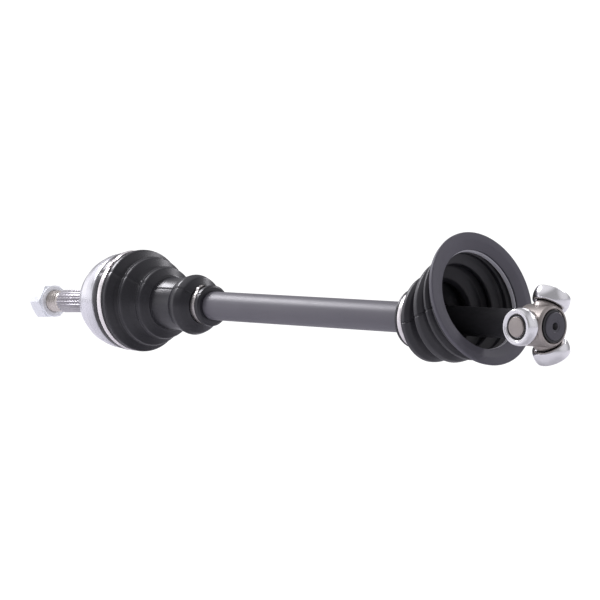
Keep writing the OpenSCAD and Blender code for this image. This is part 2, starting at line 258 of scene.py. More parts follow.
def rounded(corners: Sequence[Corner], closed: bool = True, steps: int = 5) -> list[Point]:
    """Rounds an outline's corners with arcs.

    Args:
        corners: (x, r, fillet) in millimetres.
        closed: whether the last corner joins the first.
        steps: arc points for a quarter turn.

    Returns:
        The outline's points in millimetres.
    """
    longest_reach = 0.48
    nearly_straight = math.radians(178)
    points: list[Point] = []
    count = len(corners)
    for i, (x, r, fillet) in enumerate(corners):
        here = Vector((x, r))
        before = Vector(corners[i - 1][:2]) - here
        after = Vector(corners[(i + 1) % count][:2]) - here
        at_end = not closed and i in (0, count - 1)
        if at_end or fillet <= 0 or before.angle(after) > nearly_straight:
            points.append((x, r))
            continue
        half = before.angle(after) / 2
        reach = min(fillet / math.tan(half), before.length * longest_reach, after.length * longest_reach)
        bisector = (before.normalized() + after.normalized()).normalized()
        centre = here + bisector * reach / math.cos(half)
        start = here + before.normalized() * reach - centre
        turn = math.pi - 2 * half
        side = 1 if start.x * bisector.y - start.y * bisector.x < 0 else -1
        arc_steps = max(2, math.ceil(steps * turn / (math.pi / 2)))
        for k in range(arc_steps + 1):
            angle = side * turn * k / arc_steps
            c, s = math.cos(angle), math.sin(angle)
            points.append((centre.x + start.x * c - start.y * s, centre.y + start.x * s + start.y * c))
    return points


def arc(centre: Point, radius: float, first: float, last: float, count: int = 12) -> list[Corner]:
    """Points on an arc of an outline.

    Args:
        centre: the arc's centre (x, r) in millimetres.
        radius: its radius in millimetres.
        first: the angle that it starts at, in degrees from +X towards +r.
        last: the angle that it ends at.
        count: how many chords it has.

    Returns:
        The points as corners with no fillet.
    """
    angles = [math.radians(first + (last - first) * i / count) for i in range(count + 1)]
    return [(centre[0] + radius * math.cos(a), centre[1] + radius * math.sin(a), 0.0) for a in angles]


def clipped(points: Sequence[Point], low: float, high: float) -> list[Point]:
    """Keeps one stretch of an open outline.

    Args:
        points: the outline's points (x, r).
        low: the station where the stretch starts.
        high: the station where it ends.

    Returns:
        The stretch, with its ends cut at the two stations.
    """
    kept: list[Point] = []
    for a, b in zip(points, points[1:]):
        ends = []
        for station in (low, high):
            if (a[0] - station) * (b[0] - station) < 0:
                share = (station - a[0]) / (b[0] - a[0])
                ends.append((share, (station, a[1] + share * (b[1] - a[1]))))
        if low <= a[0] <= high:
            kept.append(a)
        kept += [p for _, p in sorted(ends)]
    if low <= points[-1][0] <= high:
        kept.append(points[-1])
    return kept


def clean_up() -> None:
    """Merges doubles and points the faces outwards, on the mesh in edit mode."""
    bpy.ops.mesh.select_all(action="SELECT")
    bpy.ops.mesh.remove_doubles(threshold=DOUBLES_APART)
    bpy.ops.mesh.normals_make_consistent(inside=False)


def drawn(name: str, path: Sequence[Place]) -> bpy.types.Object:
    """Draws an open wire by extruding a vertex from point to point.

    Args:
        name: the new piece's name.
        path: the wire's points (x, y, z) in millimetres.

    Returns:
        The wire, still in edit mode.
    """
    deselect()
    bpy.ops.mesh.primitive_plane_add(size=MM, location=(0, 0, 0))
    piece = bpy.context.object
    piece.name = piece.data.name = name
    bpy.context.tool_settings.mesh_select_mode = (True, False, False)
    bpy.ops.object.mode_set(mode="EDIT")
    bpy.ops.mesh.merge(type="CENTER")
    bpy.ops.transform.translate(value=[c * MM for c in path[0]])
    for here, there in zip(path, path[1:]):
        step = [(b - a) * MM for a, b in zip(here, there)]
        bpy.ops.mesh.extrude_region_move(TRANSFORM_OT_translate={"value": step})
    return piece


def turned(name: str, outline: Sequence[Point], steps: int = STEPS) -> bpy.types.Object:
    """Spins a closed outline round the X axis.

    Args:
        name: the new piece's name.
        outline: points (x, r) in millimetres.
        steps: how many facets go round.

    Returns:
        A closed, smooth piece with its normals outwards.
    """
    piece = drawn(name, [(x, 0, r) for x, r in outline])
    mesh = bmesh.from_edit_mesh(piece.data)
    mesh.verts.ensure_lookup_table()
    bpy.ops.mesh.select_all(action="DESELECT")
    mesh.verts[0].select_set(True)
    mesh.verts[-1].select_set(True)
    bpy.ops.mesh.edge_face_add()
    bpy.ops.mesh.select_all(action="SELECT")
    bpy.ops.mesh.spin(steps=steps, angle=FULL_TURN, center=(0, 0, 0), axis=(1, 0, 0))
    clean_up()
    bpy.ops.object.mode_set(mode="OBJECT")
    smooth(piece)
    return piece


def bar(name: str, sides: int, radius: float, span: Point) -> bpy.types.Object:
    """A many-sided bar along X.

    Args:
        name: the new piece's name.
        sides: how many sides it has.
        radius: the distance from the axis to its corners, in millimetres.
        span: where it starts and ends along X.

    Returns:
        The bar, with flat ends.
    """
    low, high = span
    deselect()
    bpy.ops.mesh.primitive_cylinder_add(
        vertices=sides, radius=radius * MM, depth=(high - low) * MM,
        location=((low + high) / 2 * MM, 0, 0), rotation=(0, math.pi / 2, 0),
    )
    piece = bpy.context.object
    piece.name = piece.data.name = name
    bpy.ops.object.transform_apply(location=True, rotation=True, scale=True)
    return piece


def strip(name: str, path: Sequence[Point], span: Point, thickness: float) -> bpy.types.Object:
    """A bent sheet-metal strip round the X axis.

    Args:
        name: the new piece's name.
        path: (angle in degrees from -Y towards +Z, radius in millimetres) along the strip.
        span: the strip's two edges along X, in millimetres.
        thickness: the sheet's thickness in millimetres, outwards.

    Returns:
        A closed piece with softly rounded edges.
    """
    low, high = span
    bends = [(math.radians(a), r) for a, r in path]
    piece = drawn(name, [(low, -r * math.cos(a), r * math.sin(a)) for a, r in bends])
    bpy.ops.mesh.select_all(action="SELECT")
    bpy.ops.mesh.extrude_region_move(TRANSFORM_OT_translate={"value": ((high - low) * MM, 0, 0)})
    bpy.ops.mesh.select_all(action="SELECT")
    bpy.ops.mesh.normals_make_consistent(inside=False)
    mesh = bmesh.from_edit_mesh(piece.data)
    mesh.faces.ensure_lookup_table()
    face = mesh.faces[len(mesh.faces) // 2]
    if face.normal.dot(off_axis(face)) < 0:
        bpy.ops.mesh.flip_normals()
    bpy.ops.object.mode_set(mode="OBJECT")
    apply_modifier(piece, "SOLIDIFY", thickness=thickness * MM, offset=1.0)
    bevel_edges(piece, thickness * 0.22)
    smooth(piece)
    return piece


def off_axis(face: bmesh.types.BMFace) -> Vector:
    """The way straight out from the X axis to the middle of a face."""
    middle = face.calc_center_median()
    return Vector((0, middle.y, middle.z)).normalized()


def mark_seam(piece: bpy.types.Object, angle: float, width: float = 0.8, depth: float = 0.6) -> None:
    """Sinks the moulding seam of a turned rubber piece on two opposite sides.

    Args:
        piece: the turned piece, straight along X.
        angle: where the seam runs, in degrees from -Y towards +Z.
        width: the seam's width in millimetres.
        depth: how far it sinks in, in millimetres.
    """
    a = math.radians(angle)
    across = Vector((0, math.sin(a), math.cos(a)))
    for side in (-1, 1):
        edit(piece)
        bpy.ops.mesh.select_all(action="SELECT")
        bpy.ops.mesh.bisect(plane_co=across * side * width * MM / 2, plane_no=across)
    mesh = bmesh.from_edit_mesh(piece.data)

    def on_seam(face: bmesh.types.BMFace) -> bool:
        """Whether a face lies between the two cuts, on the outside of the wall."""
        between = abs(face.calc_center_median().dot(across)) < width * MM * 0.45
        return between and face.normal.dot(off_axis(face)) > 0.15

    if select_faces(mesh, on_seam):
        bpy.ops.transform.shrink_fatten(value=-depth * MM)
    bpy.ops.object.mode_set(mode="OBJECT")
    smooth(piece)


def reshape(piece: bpy.types.Object, rule: Callable[[Vector], Vector]) -> None:
    """Moves every vertex of a piece by a rule in millimetres."""
    for vertex in piece.data.vertices:
        vertex.co = rule(vertex.co / MM) * MM
    piece.data.update()


# ---------------------------------------------------------------- finishes


def feed(tree: bpy.types.NodeTree, socket: bpy.types.NodeSocket, value: object) -> None:
    """Links an input to the output that feeds it, or sets it where it is given a plain value."""
    if isinstance(value, bpy.types.NodeSocket):
        tree.links.new(value, socket)
    else:
        socket.default_value = value


def add_node(
    tree: bpy.types.NodeTree, kind: str, inputs: dict[str | int, object] | None = None, **settings: object
) -> bpy.types.Node:
    """Adds a shader node and wires it up.

    Args:
        tree: the node tree that it joins.
        kind: its type, without the leading ShaderNode.
        inputs: what each input is fed with, a value or another node's output.
        settings: the node's own properties.

    Returns:
        The node.
    """
    node = tree.nodes.new("ShaderNode" + kind)
    for key, value in settings.items():
        setattr(node, key, value)
    for key, value in (inputs or {}).items():
        feed(tree, node.inputs[key], value)
    return node


def colour_mix(
    tree: bpy.types.NodeTree, factor: bpy.types.NodeSocket, first: bpy.types.NodeSocket | Colour,
    second: Colour,
) -> bpy.types.NodeSocket:
    """Mixes two tones.

    Args:
        tree: the material's node tree.
        factor: the mask that brings in the second tone.
        first: the tone where the mask is 0, a colour or another mix.
        second: the tone where the mask is 1.

    Returns:
        The mixed colour.
    """
    node = add_node(tree, "Mix", {"Factor": factor}, data_type="RGBA")
    colours = [s for s in node.inputs if s.type == "RGBA"]
    feed(tree, colours[0], (*first, 1.0) if isinstance(first, tuple) else first)
    feed(tree, colours[1], (*second, 1.0))
    return next(s for s in node.outputs if s.type == "RGBA")


class Effect(Enum):
    """The fine surface effect that a finish carries."""

    SPECKLE = "speckle"
    TURNING = "turning_marks"
    GRINDING = "grinding"


class EffectGroups:
    """The shader node groups that the finishes share, each built once."""

    SOCKET_TYPES = {"Mask": "NodeSocketFloat", "Normal": "NodeSocketVector"}

    def __init__(self) -> None:
        """Builds every group."""
        self.groups = {
            Effect.SPECKLE: self._pattern("speckle", stretch=(1, 1, 1), detail=3.0),
            Effect.TURNING: self._pattern("turning_marks", stretch=(1, 0.02, 0.02), detail=2.0),
            Effect.GRINDING: self._pattern("grinding", stretch=(0.06, 1, 1), detail=2.5),
        }
        self.clouds = self._clouds()
        self.dust = self._dust()

    def _start(
        self, name: str, inputs: dict[str, float], outputs: Sequence[str]
    ) -> tuple[bpy.types.NodeTree, bpy.types.Node, bpy.types.Node]:
        """Starts a group.

        Args:
            name: the group's name.
            inputs: its number inputs with their first values, besides its vector input.
            outputs: the labels of its outputs, from SOCKET_TYPES.

        Returns:
            The group, the node that gives its inputs and the node that takes its outputs.
        """
        tree = bpy.data.node_groups.new(name, "ShaderNodeTree")
        tree.interface.new_socket("Vector", in_out="INPUT", socket_type="NodeSocketVector")
        for label, value in inputs.items():
            socket = tree.interface.new_socket(label, in_out="INPUT", socket_type="NodeSocketFloat")
            socket.default_value = value
        for label in outputs:
            tree.interface.new_socket(label, in_out="OUTPUT", socket_type=self.SOCKET_TYPES[label])
        return tree, tree.nodes.new("NodeGroupInput"), tree.nodes.new("NodeGroupOutput")

    def _pattern(self, name: str, stretch: Place, detail: float) -> bpy.types.NodeTree:
        """A noise pattern, stretched along one axis for machining marks.

        Args:
            name: the group's name.
            stretch: how fast the noise runs along each axis.
            detail: the noise's octaves.

        Returns:
            A group that gives a mask and a normal.
        """
        tree, source, sink = self._start(name, {"Scale": 1000.0, "Depth": 0.1}, ("Mask", "Normal"))
        stretched = add_node(tree, "Mapping", {"Vector": source.outputs["Vector"], "Scale": stretch})
        noise = add_node(tree, "TexNoise", {
            "Vector": stretched.outputs["Vector"], "Scale": source.outputs["Scale"],
            "Detail": detail, "Roughness": 0.6,
        })
        bump = add_node(tree, "Bump", {
            "Height": noise.outputs["Fac"], "Strength": source.outputs["Depth"], "Distance": 0.2 * MM,
        })
        feed(tree, sink.inputs["Mask"], noise.outputs["Fac"])
        feed(tree, sink.inputs["Normal"], bump.outputs["Normal"])
        return tree

    def _clouds(self) -> bpy.types.NodeTree:
        """Slow variation of tone over a surface.

        Returns:
            A group that gives a mask.
        """
        tree, source, sink = self._start("clouds", {"Scale": 30.0}, ("Mask",))
        noise = add_node(tree, "TexNoise", {
            "Vector": source.outputs["Vector"], "Scale": source.outputs["Scale"], "Detail": 4.0,
        })
        spread = add_node(tree, "MapRange", {
            "Value": noise.outputs["Fac"], "From Min": 0.35, "From Max": 0.68,
        })
        feed(tree, sink.inputs["Mask"], spread.outputs["Result"])
        return tree

    def _dust(self) -> bpy.types.NodeTree:
        """Sparse pale specks of dust or mould release.

        Returns:
            A group that gives a mask.
        """
        tree, source, sink = self._start("dust", {"Scale": 900.0, "Amount": 0.1}, ("Mask",))
        cells = add_node(tree, "TexVoronoi", {
            "Vector": source.outputs["Vector"], "Scale": source.outputs["Scale"],
        }, feature="F1")
        near = add_node(tree, "MapRange", {
            "Value": cells.outputs["Distance"], "From Min": 0.16, "From Max": 0.05,
        })
        share = add_node(tree, "Math", {
            0: near.outputs["Result"], 1: source.outputs["Amount"],
        }, operation="MULTIPLY")
        feed(tree, sink.inputs["Mask"], share.outputs["Value"])
        return tree


@dataclass(frozen=True)
class Finish:
    """One finish of the drive shaft, from its colours to its machining marks."""

    name: str
    slot: str
    colour: Colour
    tint: Colour
    roughness: Point
    effect: Effect = Effect.SPECKLE
    effect_scale: float = 2500.0
    effect_depth: float = 0.15
    cloud_scale: float = 40.0
    metallic: float = 0.0
    dust: float = 0.0
    dust_tone: Colour = (0.45, 0.44, 0.43)
    specular: float = 0.5

    def build(self, groups: EffectGroups) -> bpy.types.Material:
        """Makes the material.

        Args:
            groups: the shared effects.

        Returns:
            A procedural material on Object coordinates.
        """
        material = bpy.data.materials.new(self.name)
        material.use_nodes = True
        material.diffuse_color = (*self.colour, 1.0)
        tree = material.node_tree
        spot = add_node(tree, "TexCoord").outputs["Object"]
        effect = add_node(tree, "Group", {
            "Vector": spot, "Scale": self.effect_scale, "Depth": self.effect_depth,
        }, node_tree=groups.groups[self.effect])
        clouds = add_node(tree, "Group", {"Vector": spot, "Scale": self.cloud_scale}, node_tree=groups.clouds)
        dust = add_node(tree, "Group", {"Vector": spot, "Amount": self.dust}, node_tree=groups.dust)
        rough = add_node(tree, "MapRange", {
            "Value": effect.outputs["Mask"], "From Min": 0.3, "From Max": 0.7,
            "To Min": self.roughness[0], "To Max": self.roughness[1],
        })
        paler = tuple(min(1.0, c * 1.25 + 0.02) for c in self.colour)
        tone = colour_mix(tree, clouds.outputs["Mask"], self.colour, self.tint)
        tone = colour_mix(tree, effect.outputs["Mask"], tone, paler)
        tone = colour_mix(tree, dust.outputs["Mask"], tone, self.dust_tone)
        shader = tree.nodes["Principled BSDF"]
        for label, value in (
            ("Base Color", tone), ("Roughness", rough.outputs["Result"]), ("Metallic", self.metallic),
            ("Normal", effect.outputs["Normal"]), ("Specular IOR Level", self.specular),
        ):
            feed(tree, shader.inputs[label], value)
        return material


class Palette:
    """Every finish of the drive shaft, made on first use."""

    FINISHES = (
        Finish("charcoal_paint", "shaft_paint", (0.125, 0.121, 0.140), (0.150, 0.145, 0.165), (0.36, 0.50),
               effect_scale=1400, effect_depth=0.20, dust=0.08, cloud_scale=25, specular=0.6),
        Finish("bare_black", "shaft_paint", (0.010, 0.010, 0.012), (0.016, 0.016, 0.018), (0.34, 0.46),
               effect_scale=2000, effect_depth=0.12, cloud_scale=60),
        # The end land's lighter grey: partly the machined end's own tone, partly painted light that the end
        # face catches.
        Finish("end_grey_and_painted_light", "shaft_paint", (0.085, 0.083, 0.096), (0.065, 0.063, 0.074), (0.32, 0.44),
               effect_scale=2200, effect_depth=0.12, cloud_scale=150, metallic=0.5),
        Finish("boot_rubber", "boot_rubber", (0.006, 0.0058, 0.010), (0.010, 0.0096, 0.015), (0.27, 0.36),
               effect_scale=1800, effect_depth=0.04, dust=0.03, cloud_scale=50, specular=0.6),
        Finish("inner_rubber", "boot_rubber", (0.010, 0.0095, 0.014), (0.016, 0.0155, 0.021), (0.32, 0.44),
               effect_scale=1800, effect_depth=0.08, dust=0.04, cloud_scale=45, specular=0.6),
        Finish("flange_rubber", "flange_rubber", (0.092, 0.089, 0.108), (0.115, 0.111, 0.132), (0.50, 0.64),
               effect_scale=1500, effect_depth=0.16, dust=0.08, cloud_scale=35),
        Finish("turned_steel", "turned_steel", (0.62, 0.62, 0.65), (0.50, 0.50, 0.53), (0.20, 0.34),
               effect=Effect.TURNING, effect_scale=1400, effect_depth=0.03, metallic=1.0),
        Finish("spline_steel", "turned_steel", (0.38, 0.37, 0.39), (0.30, 0.29, 0.31), (0.24, 0.38),
               effect=Effect.GRINDING, effect_scale=1800, effect_depth=0.05, metallic=1.0),
        Finish("thread_steel", "turned_steel", (0.66, 0.62, 0.58), (0.58, 0.54, 0.50), (0.26, 0.40),
               effect=Effect.TURNING, effect_scale=1800, effect_depth=0.04, metallic=0.9),
        Finish("zinc_plate", "zinc", (0.88, 0.92, 0.97), (0.82, 0.87, 0.94), (0.42, 0.55),
               effect_scale=900, effect_depth=0.03, metallic=0.25),
        Finish("band_steel", "band_steel", (0.78, 0.75, 0.75), (0.70, 0.67, 0.67), (0.28, 0.36),
               effect=Effect.GRINDING, effect_scale=1500, effect_depth=0.005, metallic=1.0),
        Finish("dull_band", "band_steel", (0.42, 0.40, 0.39), (0.36, 0.34, 0.33), (0.26, 0.38),
               effect=Effect.GRINDING, effect_scale=1500, effect_depth=0.03, metallic=1.0),
        Finish("machined_steel", "machined_steel", (0.42, 0.385, 0.36), (0.34, 0.315, 0.30), (0.34, 0.48),
               effect_scale=1600, effect_depth=0.06, cloud_scale=120, metallic=1.0),
        Finish("roller_steel", "roller_steel", (0.90, 0.90, 0.92), (0.84, 0.84, 0.87), (0.16, 0.22),
               effect_scale=1200, effect_depth=0.003, metallic=1.0),
        Finish("ground_steel", "ground_steel", (0.66, 0.66, 0.68), (0.60, 0.60, 0.62), (0.12, 0.22),
               effect=Effect.TURNING, effect_scale=2600, effect_depth=0.05, metallic=1.0),
        Finish("black_steel", "black_steel", (0.008, 0.008, 0.010), (0.014, 0.014, 0.016), (0.28, 0.42),
               effect_scale=1800, effect_depth=0.05),
        Finish("insert_steel", "insert_steel", (0.72, 0.72, 0.76), (0.80, 0.80, 0.84), (0.40, 0.55),
               effect_scale=1600, effect_depth=0.05, metallic=0.0),
        Finish("cage_brass", "cage_brass", (0.62, 0.44, 0.18), (0.52, 0.37, 0.15), (0.26, 0.4),
               effect=Effect.TURNING, effect_scale=2000, effect_depth=0.06, metallic=1.0),
        Finish("seal_rubber", "seal_rubber", (0.016, 0.016, 0.018), (0.022, 0.022, 0.024), (0.45, 0.6),
               effect_scale=2000, effect_depth=0.1),
    )

    def __init__(self) -> None:
        """Builds the shared effects."""
        self.groups = EffectGroups()
        self.finishes = {finish.name: finish for finish in self.FINISHES}
        self.made: dict[str, bpy.types.Material] = {}

    def dress(self, piece: bpy.types.Object, name: str) -> None:
        """Gives a piece its finish.

        Args:
            piece: the piece to dress.
            name: the finish's name.
        """
        finish = self.finishes[name]
        if name not in self.made:
            self.made[name] = finish.build(self.groups)
        piece.data.materials.clear()
        piece.data.materials.append(self.made[name])


# ---------------------------------------------------------------- layout


@dataclass
class Layout:
    """Places and angles that every sub-assembly shares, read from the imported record."""

    droop: float
    flange_tilt: float
    flange_centre: Vector
    tripod_x: float
    bearing_x: float

    @classmethod
    def from_frame(cls, frame: dict) -> "Layout":
        """Reads the layout from the loaded frame.


        Returns:
            The layout, with lengths in millimetres and angles in radians.
        """
        mounts = {m["name"]: m for m in frame["record"]["mounts"]}
        shoulder = mounts["hub_bearing_shoulder"]["axis"]
        flange = mounts["gearbox_flange"]
        return cls(
            droop=math.atan2(-shoulder[2], -shoulder[0]),
            flange_tilt=math.asin(flange["axis"][2]),
            flange_centre=Vector((flange["pos_m"][0], 0, flange["pos_m"][2])) / MM,
            tripod_x=mounts["tripod_roller_a"]["pos_m"][0] / MM,
            bearing_x=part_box("bearing_outer_ring")[0].x / MM,
        )

    def stub_place(self) -> Matrix:
        """The turn of the wheel side about the outer joint's centre."""
        return Matrix.Rotation(-self.droop, 4, "Y")

    def flange_place(self) -> Matrix:
        """Where the flange's front face sits at rest."""
        return Matrix.Translation(self.flange_centre * MM) @ Matrix.Rotation(-self.flange_tilt, 4, "Y")

    def tripod_place(self) -> Matrix:
        """Moves a piece built round the origin to the tripod's centre."""
        return Matrix.Translation(Vector((self.tripod_x * MM, 0, 0)))

    def trunnion_turn(self, angle: float) -> Matrix:
        """Turns a piece built along X so that it points out along a trunnion."""
        return Matrix.Rotation(math.radians(angle), 4, "X") @ Matrix.Rotation(-math.pi / 2, 4, "Z")

    def trunnion_place(self, angle: float) -> Matrix:
        """Where a piece built along X sits on a trunnion."""
        return self.tripod_place() @ self.trunnion_turn(angle)


@dataclass
class SubAssembly:
    """What every sub-assembly shares: the layout, the finishes and how a piece is fitted."""

    layout: Layout
    palette: Palette

    def fit(self, piece: bpy.types.Object, finish: str, body: str | None, *nodes: str) -> None:
        """Dresses a piece and ties it to the frame.

        Args:
            piece: the finished piece.
            finish: its finish's name.
            body: the body that it rides on, or None to leave it on no body.
            nodes: the CAD nodes that it stands for.
        """
        self.palette.dress(piece, finish)
        if body:
            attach(piece, body)
        if nodes:
            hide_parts(*nodes)
        log.info("%s: %s", type(self).__name__, piece.name)


def blend_mm(piece: bpy.types.Object) -> None:
    """Bakes a piece's placement into its mesh; nothing blends it between bodies."""
    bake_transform(piece)


def boot_wall(
    name: str, outer: Sequence[Corner], inner: Sequence[Corner], span: Point, seam_angle: float
) -> bpy.types.Object:
    """One stretch of a rubber boot's wall, with its moulding seam.

    Args:
        name: the new piece's name.
        outer: the outside's open outline.
        inner: the inside's open outline.
        span: the stations where the stretch starts and ends.
        seam_angle: where the seam runs, in degrees from -Y towards +Z.

    Returns:
        The stretch, straight along X.
    """
    outside = clipped(rounded(outer, closed=False), *span)
    inside = clipped(rounded(inner, closed=False), *span)
    shared = (outside[0], outside[-1])
    piece = turned(name, outside + [point for point in reversed(inside) if point not in shared])
    mark_seam(piece, seam_angle)
    return piece


def clamp(
    name: str, radius: float, span: Point, thickness: float, ear_angle: float, ear: Point
) -> bpy.types.Object:
    """A sheet-metal clamp band with a lapped end and a crimped ear.

    Args:
        name: the new piece's name.
        radius: the band's inner radius in millimetres.
        span: its two edges along X.
        thickness: the sheet's thickness.
        ear_angle: where the ear stands, in degrees from -Y towards +Z.
        ear: the ear's length round the band and its height.

    Returns:
        The clamp as one closed piece.
    """
    lap, climb, steps = 12.0, 8.0, 150
    half = math.degrees(ear[0] / 2 / radius)
    start = ear_angle + 1.9 * half + 14

    def lapped(angle: float) -> float:
        """The radius at an angle, raised by the sheet's thickness where the end lies over the start."""
        return radius + thickness * 1.02 * ease((angle - start - (360 - lap)) / climb)

    angles = [start + (360 + lap) * i / steps for i in range(steps + 1)]
    band = strip(name, [(a, lapped(a)) for a in angles], span, thickness)
    inset = (span[1] - span[0]) * 0.12
    rise = radius + thickness * 1.05
    flank = [(1.9, 0.0), (1.15, 0.0), (0.85, 0.12), (0.62, 0.8), (0.45, 1.0), (0.15, 1.0)]
    profile = [(-a, h) for a, h in flank] + [(0.0, 0.82)] + flank[::-1]
    path = [(ear_angle + half * a, rise + ear[1] * h) for a, h in profile]
    crimp = strip(name + "_ear", path, (span[0] + inset, span[1] - inset), thickness * 0.8)
    return join([band, crimp])


# ---------------------------------------------------------------- wheel side


@dataclass
class WheelStub(SubAssembly):
    """The bell housing with its stub, the hub nut with its washer, and the big clamp."""

    crown_r: float = 45.2
    seat_r: float = 43.6
    mouth_x: float = 20.5
    cavity_r: float = 35.8
    cavity_floor_x: float = -28.0
    shoulder_x: float = -44.0
    journal_r: float = 12.4
    spline_r: float = 10.9
    spline_depth: float = 1.15
    spline_span: Point = (-99.0, -61.0)
    spline_teeth: int = 21
    thread_r: float = 10.0
    thread_depth: float = 0.85
    thread_span: Point = (-132.0, -101.5)
    thread_pitch: float = 1.5
    nut_af: float = 30.0
    nut_span: Point = (-134.75, -118.05)
    washer_face: float = -115.0
    band_span: Point = (12.0, 17.6)
    band_r: float = 46.35

    def build(self) -> None:
        """Builds and dresses every piece of the wheel side."""
        for piece, finish, body, *nodes in (
            (self._bell(), "turned_steel", "wheel_stub", "joint_housing"),
            (self._spline(), "spline_steel", "wheel_stub"),
            (self._thread(), "thread_steel", "wheel_stub"),
            (self._nut(), "zinc_plate", "nut", "hub_nut"),
            (self._washer(), "zinc_plate", "nut_washer_body", "nut_washer"),
            (self._band(), "band_steel", "wheel_stub", "large_clamp"),
        ):
            place(piece, self.layout.stub_place())
            self.fit(piece, finish, body, *nodes)

    def _bell(self) -> bpy.types.Object:
        """The forged and turned bell.

        Returns:
            The bell with its spherical cavity and its journal, up to the spline.
        """
        x0 = self.spline_span[1]
        mouth, floor = (math.degrees(math.acos(x / self.cavity_r)) for x in (10, self.cavity_floor_x))
        inside = arc((0, 0), self.cavity_r, mouth, floor, 16)
        return turned("bell_housing", rounded([
            (x0 - 0.6, 0, 0), (x0 - 0.6, self.journal_r - 1.0, 0.2), (x0 + 0.6, self.journal_r, 0.3),
            (self.shoulder_x, self.journal_r, 1.2), (self.shoulder_x, 23.4, 0.5), (-42.6, 24.6, 0.6),
            (-31.4, 34.2, 1.5), (-29.2, 35.6, 1.0), (-19.5, 41.0, 9), (-9, 44.2, 9), (-1.5, self.crown_r, 4),
            (2.0, self.crown_r, 0.5), (3.0, self.seat_r, 0.4), (self.mouth_x, self.seat_r, 0.6),
            (self.mouth_x, 39.8, 0.5), *inside, (self.cavity_floor_x, 0, 0),
        ]), FINE_STEPS)

    def _spline(self) -> bpy.types.Object:
        """The splined stretch, a many-sided bar whose every second pair of edges is drawn in to the root.

        Returns:
            The spline with its tapered run-out towards the thread.
        """
        edges = 4 * self.spline_teeth
        piece = bar("stub_spline", edges, self.spline_r, self.spline_span)
        mesh = edit(piece)
        bpy.context.tool_settings.mesh_select_mode = (True, False, False)
        bpy.ops.mesh.select_all(action="DESELECT")
        for vertex in mesh.verts:
            index = round(math.atan2(vertex.co.z, vertex.co.y) / (FULL_TURN / edges))
            vertex.select_set(index % 4 in (0, 1))
        root = 1 - self.spline_depth / self.spline_r
        bpy.ops.transform.resize(value=(1, root, root), center_override=(0, 0, 0))
        select_faces(mesh, lambda f: f.normal.x < -0.9)
        bpy.ops.mesh.extrude_region_move(TRANSFORM_OT_translate={"value": (-1.2 * MM, 0, 0)})
        bpy.ops.transform.resize(value=(1, 0.87, 0.87), center_override=(0, 0, 0))
        bpy.ops.object.mode_set(mode="OBJECT")
        bevel_edges(piece, 0.12, segments=2, angle=25)
        smooth(piece, 30)
        return piece

    def _thread(self) -> bpy.types.Object:
        """The threaded end: a core with a chamfered, centre-drilled tip and a helical ridge.

        Returns:
            The core and its ridge as one piece.
        """
        low, high = self.thread_span
        root = self.thread_r - self.thread_depth
        core_r = root + 0.1
        core = turned("stub_thread", rounded([
            (low + 4.5, 0, 0), (low + 1.2, 1.6, 0), (low, 2.8, 0.3), (low, self.thread_r - 2.0, 0.3),
            (low + 1.4, core_r, 0.1), (high, core_r, 0.3),
            (high, self.thread_r - 1.1, 0.3), (high + 4, self.thread_r - 1.1, 0), (high + 4, 0, 0),
        ]))
        first = low + 1.6
        half = self.thread_pitch * 0.48
        crest = ((0, root), (half - 0.1, self.thread_r), (half + 0.1, self.thread_r), (2 * half, root))
        ridge = drawn("thread_ridge", [(first + x, 0, r) for x, r in crest])
        bpy.ops.mesh.select_all(action="SELECT")
        bpy.ops.mesh.edge_face_add()
        bpy.ops.mesh.delete(type="ONLY_FACE")
        bpy.ops.object.mode_set(mode="OBJECT")
        apply_modifier(
            ridge, "SCREW", axis="X", angle=FULL_TURN, screw_offset=self.thread_pitch * MM,
            iterations=round((high - low - 3) / self.thread_pitch), steps=48, render_steps=48,
            use_smooth_shade=True,
        )
        edit(ridge)
        bpy.ops.mesh.select_all(action="SELECT")
        bpy.ops.mesh.fill_holes(sides=4)
        clean_up()
        bpy.ops.object.mode_set(mode="OBJECT")
        smooth(ridge, 30)
        return join([core, ridge])

    def _nut(self) -> bpy.types.Object:
        """The hex nut.

        Returns:
            The nut, chamfered at both ends, with its bore.
        """
        low, high = self.nut_span
        flat = self.nut_af / 2
        piece = bar("hex_nut", 6, flat / math.cos(math.pi / 6), self.nut_span)
        cut(piece, turned("nut_trim", rounded([
            (low - 0.2, 0, 0), (low - 0.2, flat - 1.8, 0), (low + 3.2, flat + 3.2, 0),
            (high - 1.5, flat + 3.2, 0), (high + 0.2, flat - 0.2, 0), (high + 0.2, 0, 0),
        ])), "INTERSECT")
        bore_r = self.thread_r + 0.12
        cut(piece, turned("nut_bore", rounded([
            (low - 1, 0, 0), (low - 1, 12.2, 0), (low + 1.2, bore_r, 0),
            (high - 1.2, bore_r, 0), (high + 1, 12.2, 0), (high + 1, 0, 0),
        ])))
        bevel_edges(piece, 0.3, segments=3, angle=28)
        smooth(piece, 30)
        return piece

    def _washer(self) -> bpy.types.Object:
        """The nut's captive washer.

        Returns:
            The washer, slightly coned on its free face.
        """
        face, bore_r = self.washer_face, self.thread_r + 0.15
        return turned("captive_washer", rounded([
            (face - 3, bore_r, 0.2), (face - 3, 14.0, 0.5), (face - 1.3, 15.4, 0.5), (face - 0.2, 15.0, 0.4),
            (face, 13.6, 0.4), (face, 11.4, 0.5), (face - 0.9, bore_r, 0.2),
        ]))

    def _band(self) -> bpy.types.Object:
        """The big clamp, with a low ear."""
        return clamp("big_clamp", self.band_r, self.band_span, thickness=0.55, ear_angle=47, ear=(8.0, 0.7))


